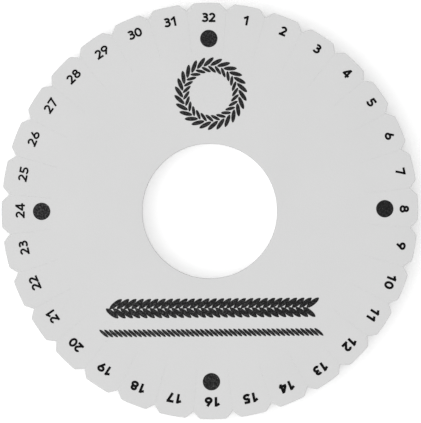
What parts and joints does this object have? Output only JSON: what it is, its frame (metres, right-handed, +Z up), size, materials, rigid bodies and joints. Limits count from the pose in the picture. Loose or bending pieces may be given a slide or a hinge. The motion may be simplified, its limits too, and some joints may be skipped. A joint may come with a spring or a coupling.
{
  "type": "kumihimo disk",
  "caption": "Round foam braiding disk with a centre hole for the braid and a rim of flexing tabs, parted by notched slits that grip the cords, with printed position dots.",
  "frame": {"origin": "foot of the centre hole's axis, on the plane of the unprinted face that the disk lies on", "axes": "+Z up through the hole, out of the printed face; +Y towards the tab numbered 32; +X towards the tab numbered 8"},
  "size_m": [0.108, 0.108, 0.01],
  "materials": {
    "foam": "matt closed-cell foam, fine even skin",
    "ink": "screen-printed black ink, matt"
  },
  "bodies": {
    "core": {"centre_ring": "foam", "flexure_band": "foam"},
    "tab_01": {"tab_01": "foam"},
    "tab_02": {"tab_02": "foam"},
    "tab_03": {"tab_03": "foam"},
    "tab_04": {"tab_04": "foam"},
    "tab_05": {"tab_05": "foam"},
    "tab_06": {"tab_06": "foam"},
    "tab_07": {"tab_07": "foam"},
    "tab_08": {"tab_08": "foam", "dot_08": "ink"},
    "tab_09": {"tab_09": "foam"},
    "tab_10": {"tab_10": "foam"},
    "tab_11": {"tab_11": "foam"},
    "tab_12": {"tab_12": "foam"},
    "tab_13": {"tab_13": "foam"},
    "tab_14": {"tab_14": "foam"},
    "tab_15": {"tab_15": "foam"},
    "tab_16": {"tab_16": "foam", "dot_16": "ink"},
    "tab_17": {"tab_17": "foam"},
    "tab_18": {"tab_18": "foam"},
    "tab_19": {"tab_19": "foam"},
    "tab_20": {"tab_20": "foam"},
    "tab_21": {"tab_21": "foam"},
    "tab_22": {"tab_22": "foam"},
    "tab_23": {"tab_23": "foam"},
    "tab_24": {"tab_24": "foam", "dot_24": "ink"},
    "tab_25": {"tab_25": "foam"},
    "tab_26": {"tab_26": "foam"},
    "tab_27": {"tab_27": "foam"},
    "tab_28": {"tab_28": "foam"},
    "tab_29": {"tab_29": "foam"},
    "tab_30": {"tab_30": "foam"},
    "tab_31": {"tab_31": "foam"},
    "tab_32": {"tab_32": "foam", "dot_32": "ink"}
  },
  "joints": [
    {"name": "tab_01_flex", "type": "hinge", "parent": "core", "child": "tab_01", "pos_m": [0.008, 0.04021, 0.005], "axis": [0.9808, -0.1951, 0], "range_deg": [-10, 10], "stiffness_Nm_per_rad": 0.2, "deforming": ["flexure_band"]},
    {"name": "tab_02_flex", "type": "hinge", "parent": "core", "child": "tab_02", "pos_m": [0.01569, 0.03788, 0.005], "axis": [0.9239, -0.3827, 0], "range_deg": [-10, 10], "stiffness_Nm_per_rad": 0.2, "deforming": ["flexure_band"]},
    {"name": "tab_03_flex", "type": "hinge", "parent": "core", "child": "tab_03", "pos_m": [0.02278, 0.03409, 0.005], "axis": [0.8315, -0.5556, 0], "range_deg": [-10, 10], "stiffness_Nm_per_rad": 0.2, "deforming": ["flexure_band"]},
    {"name": "tab_04_flex", "type": "hinge", "parent": "core", "child": "tab_04", "pos_m": [0.02899, 0.02899, 0.005], "axis": [0.7071, -0.7071, 0], "range_deg": [-10, 10], "stiffness_Nm_per_rad": 0.2, "deforming": ["flexure_band"]},
    {"name": "tab_05_flex", "type": "hinge", "parent": "core", "child": "tab_05", "pos_m": [0.03409, 0.02278, 0.005], "axis": [0.5556, -0.8315, 0], "range_deg": [-10, 10], "stiffness_Nm_per_rad": 0.2, "deforming": ["flexure_band"]},
    {"name": "tab_06_flex", "type": "hinge", "parent": "core", "child": "tab_06", "pos_m": [0.03788, 0.01569, 0.005], "axis": [0.3827, -0.9239, 0], "range_deg": [-10, 10], "stiffness_Nm_per_rad": 0.2, "deforming": ["flexure_band"]},
    {"name": "tab_07_flex", "type": "hinge", "parent": "core", "child": "tab_07", "pos_m": [0.04021, 0.008, 0.005], "axis": [0.1951, -0.9808, 0], "range_deg": [-10, 10], "stiffness_Nm_per_rad": 0.2, "deforming": ["flexure_band"]},
    {"name": "tab_08_flex", "type": "hinge", "parent": "core", "child": "tab_08", "pos_m": [0.041, 0, 0.005], "axis": [0, -1, 0], "range_deg": [-10, 10], "stiffness_Nm_per_rad": 0.2, "deforming": ["flexure_band"]},
    {"name": "tab_09_flex", "type": "hinge", "parent": "core", "child": "tab_09", "pos_m": [0.04021, -0.008, 0.005], "axis": [-0.1951, -0.9808, 0], "range_deg": [-10, 10], "stiffness_Nm_per_rad": 0.2, "deforming": ["flexure_band"]},
    {"name": "tab_10_flex", "type": "hinge", "parent": "core", "child": "tab_10", "pos_m": [0.03788, -0.01569, 0.005], "axis": [-0.3827, -0.9239, 0], "range_deg": [-10, 10], "stiffness_Nm_per_rad": 0.2, "deforming": ["flexure_band"]},
    {"name": "tab_11_flex", "type": "hinge", "parent": "core", "child": "tab_11", "pos_m": [0.03409, -0.02278, 0.005], "axis": [-0.5556, -0.8315, 0], "range_deg": [-10, 10], "stiffness_Nm_per_rad": 0.2, "deforming": ["flexure_band"]},
    {"name": "tab_12_flex", "type": "hinge", "parent": "core", "child": "tab_12", "pos_m": [0.02899, -0.02899, 0.005], "axis": [-0.7071, -0.7071, 0], "range_deg": [-10, 10], "stiffness_Nm_per_rad": 0.2, "deforming": ["flexure_band"]},
    {"name": "tab_13_flex", "type": "hinge", "parent": "core", "child": "tab_13", "pos_m": [0.02278, -0.03409, 0.005], "axis": [-0.8315, -0.5556, 0], "range_deg": [-10, 10], "stiffness_Nm_per_rad": 0.2, "deforming": ["flexure_band"]},
    {"name": "tab_14_flex", "type": "hinge", "parent": "core", "child": "tab_14", "pos_m": [0.01569, -0.03788, 0.005], "axis": [-0.9239, -0.3827, 0], "range_deg": [-10, 10], "stiffness_Nm_per_rad": 0.2, "deforming": ["flexure_band"]},
    {"name": "tab_15_flex", "type": "hinge", "parent": "core", "child": "tab_15", "pos_m": [0.008, -0.04021, 0.005], "axis": [-0.9808, -0.1951, 0], "range_deg": [-10, 10], "stiffness_Nm_per_rad": 0.2, "deforming": ["flexure_band"]},
    {"name": "tab_16_flex", "type": "hinge", "parent": "core", "child": "tab_16", "pos_m": [0, -0.041, 0.005], "axis": [-1, 0, 0], "range_deg": [-10, 10], "stiffness_Nm_per_rad": 0.2, "deforming": ["flexure_band"]},
    {"name": "tab_17_flex", "type": "hinge", "parent": "core", "child": "tab_17", "pos_m": [-0.008, -0.04021, 0.005], "axis": [-0.9808, 0.1951, 0], "range_deg": [-10, 10], "stiffness_Nm_per_rad": 0.2, "deforming": ["flexure_band"]},
    {"name": "tab_18_flex", "type": "hinge", "parent": "core", "child": "tab_18", "pos_m": [-0.01569, -0.03788, 0.005], "axis": [-0.9239, 0.3827, 0], "range_deg": [-10, 10], "stiffness_Nm_per_rad": 0.2, "deforming": ["flexure_band"]},
    {"name": "tab_19_flex", "type": "hinge", "parent": "core", "child": "tab_19", "pos_m": [-0.02278, -0.03409, 0.005], "axis": [-0.8315, 0.5556, 0], "range_deg": [-10, 10], "stiffness_Nm_per_rad": 0.2, "deforming": ["flexure_band"]},
    {"name": "tab_20_flex", "type": "hinge", "parent": "core", "child": "tab_20", "pos_m": [-0.02899, -0.02899, 0.005], "axis": [-0.7071, 0.7071, 0], "range_deg": [-10, 10], "stiffness_Nm_per_rad": 0.2, "deforming": ["flexure_band"]},
    {"name": "tab_21_flex", "type": "hinge", "parent": "core", "child": "tab_21", "pos_m": [-0.03409, -0.02278, 0.005], "axis": [-0.5556, 0.8315, 0], "range_deg": [-10, 10], "stiffness_Nm_per_rad": 0.2, "deforming": ["flexure_band"]},
    {"name": "tab_22_flex", "type": "hinge", "parent": "core", "child": "tab_22", "pos_m": [-0.03788, -0.01569, 0.005], "axis": [-0.3827, 0.9239, 0], "range_deg": [-10, 10], "stiffness_Nm_per_rad": 0.2, "deforming": ["flexure_band"]},
    {"name": "tab_23_flex", "type": "hinge", "parent": "core", "child": "tab_23", "pos_m": [-0.04021, -0.008, 0.005], "axis": [-0.1951, 0.9808, 0], "range_deg": [-10, 10], "stiffness_Nm_per_rad": 0.2, "deforming": ["flexure_band"]},
    {"name": "tab_24_flex", "type": "hinge", "parent": "core", "child": "tab_24", "pos_m": [-0.041, 0, 0.005], "axis": [0, 1, 0], "range_deg": [-10, 10], "stiffness_Nm_per_rad": 0.2, "deforming": ["flexure_band"]},
    {"name": "tab_25_flex", "type": "hinge", "parent": "core", "child": "tab_25", "pos_m": [-0.04021, 0.008, 0.005], "axis": [0.1951, 0.9808, 0], "range_deg": [-10, 10], "stiffness_Nm_per_rad": 0.2, "deforming": ["flexure_band"]},
    {"name": "tab_26_flex", "type": "hinge", "parent": "core", "child": "tab_26", "pos_m": [-0.03788, 0.01569, 0.005], "axis": [0.3827, 0.9239, 0], "range_deg": [-10, 10], "stiffness_Nm_per_rad": 0.2, "deforming": ["flexure_band"]},
    {"name": "tab_27_flex", "type": "hinge", "parent": "core", "child": "tab_27", "pos_m": [-0.03409, 0.02278, 0.005], "axis": [0.5556, 0.8315, 0], "range_deg": [-10, 10], "stiffness_Nm_per_rad": 0.2, "deforming": ["flexure_band"]},
    {"name": "tab_28_flex", "type": "hinge", "parent": "core", "child": "tab_28", "pos_m": [-0.02899, 0.02899, 0.005], "axis": [0.7071, 0.7071, 0], "range_deg": [-10, 10], "stiffness_Nm_per_rad": 0.2, "deforming": ["flexure_band"]},
    {"name": "tab_29_flex", "type": "hinge", "parent": "core", "child": "tab_29", "pos_m": [-0.02278, 0.03409, 0.005], "axis": [0.8315, 0.5556, 0], "range_deg": [-10, 10], "stiffness_Nm_per_rad": 0.2, "deforming": ["flexure_band"]},
    {"name": "tab_30_flex", "type": "hinge", "parent": "core", "child": "tab_30", "pos_m": [-0.01569, 0.03788, 0.005], "axis": [0.9239, 0.3827, 0], "range_deg": [-10, 10], "stiffness_Nm_per_rad": 0.2, "deforming": ["flexure_band"]},
    {"name": "tab_31_flex", "type": "hinge", "parent": "core", "child": "tab_31", "pos_m": [-0.008, 0.04021, 0.005], "axis": [0.9808, 0.1951, 0], "range_deg": [-10, 10], "stiffness_Nm_per_rad": 0.2, "deforming": ["flexure_band"]},
    {"name": "tab_32_flex", "type": "hinge", "parent": "core", "child": "tab_32", "pos_m": [0, 0.041, 0.005], "axis": [1, 0, 0], "range_deg": [-10, 10], "stiffness_Nm_per_rad": 0.2, "deforming": ["flexure_band"]}
  ]
}
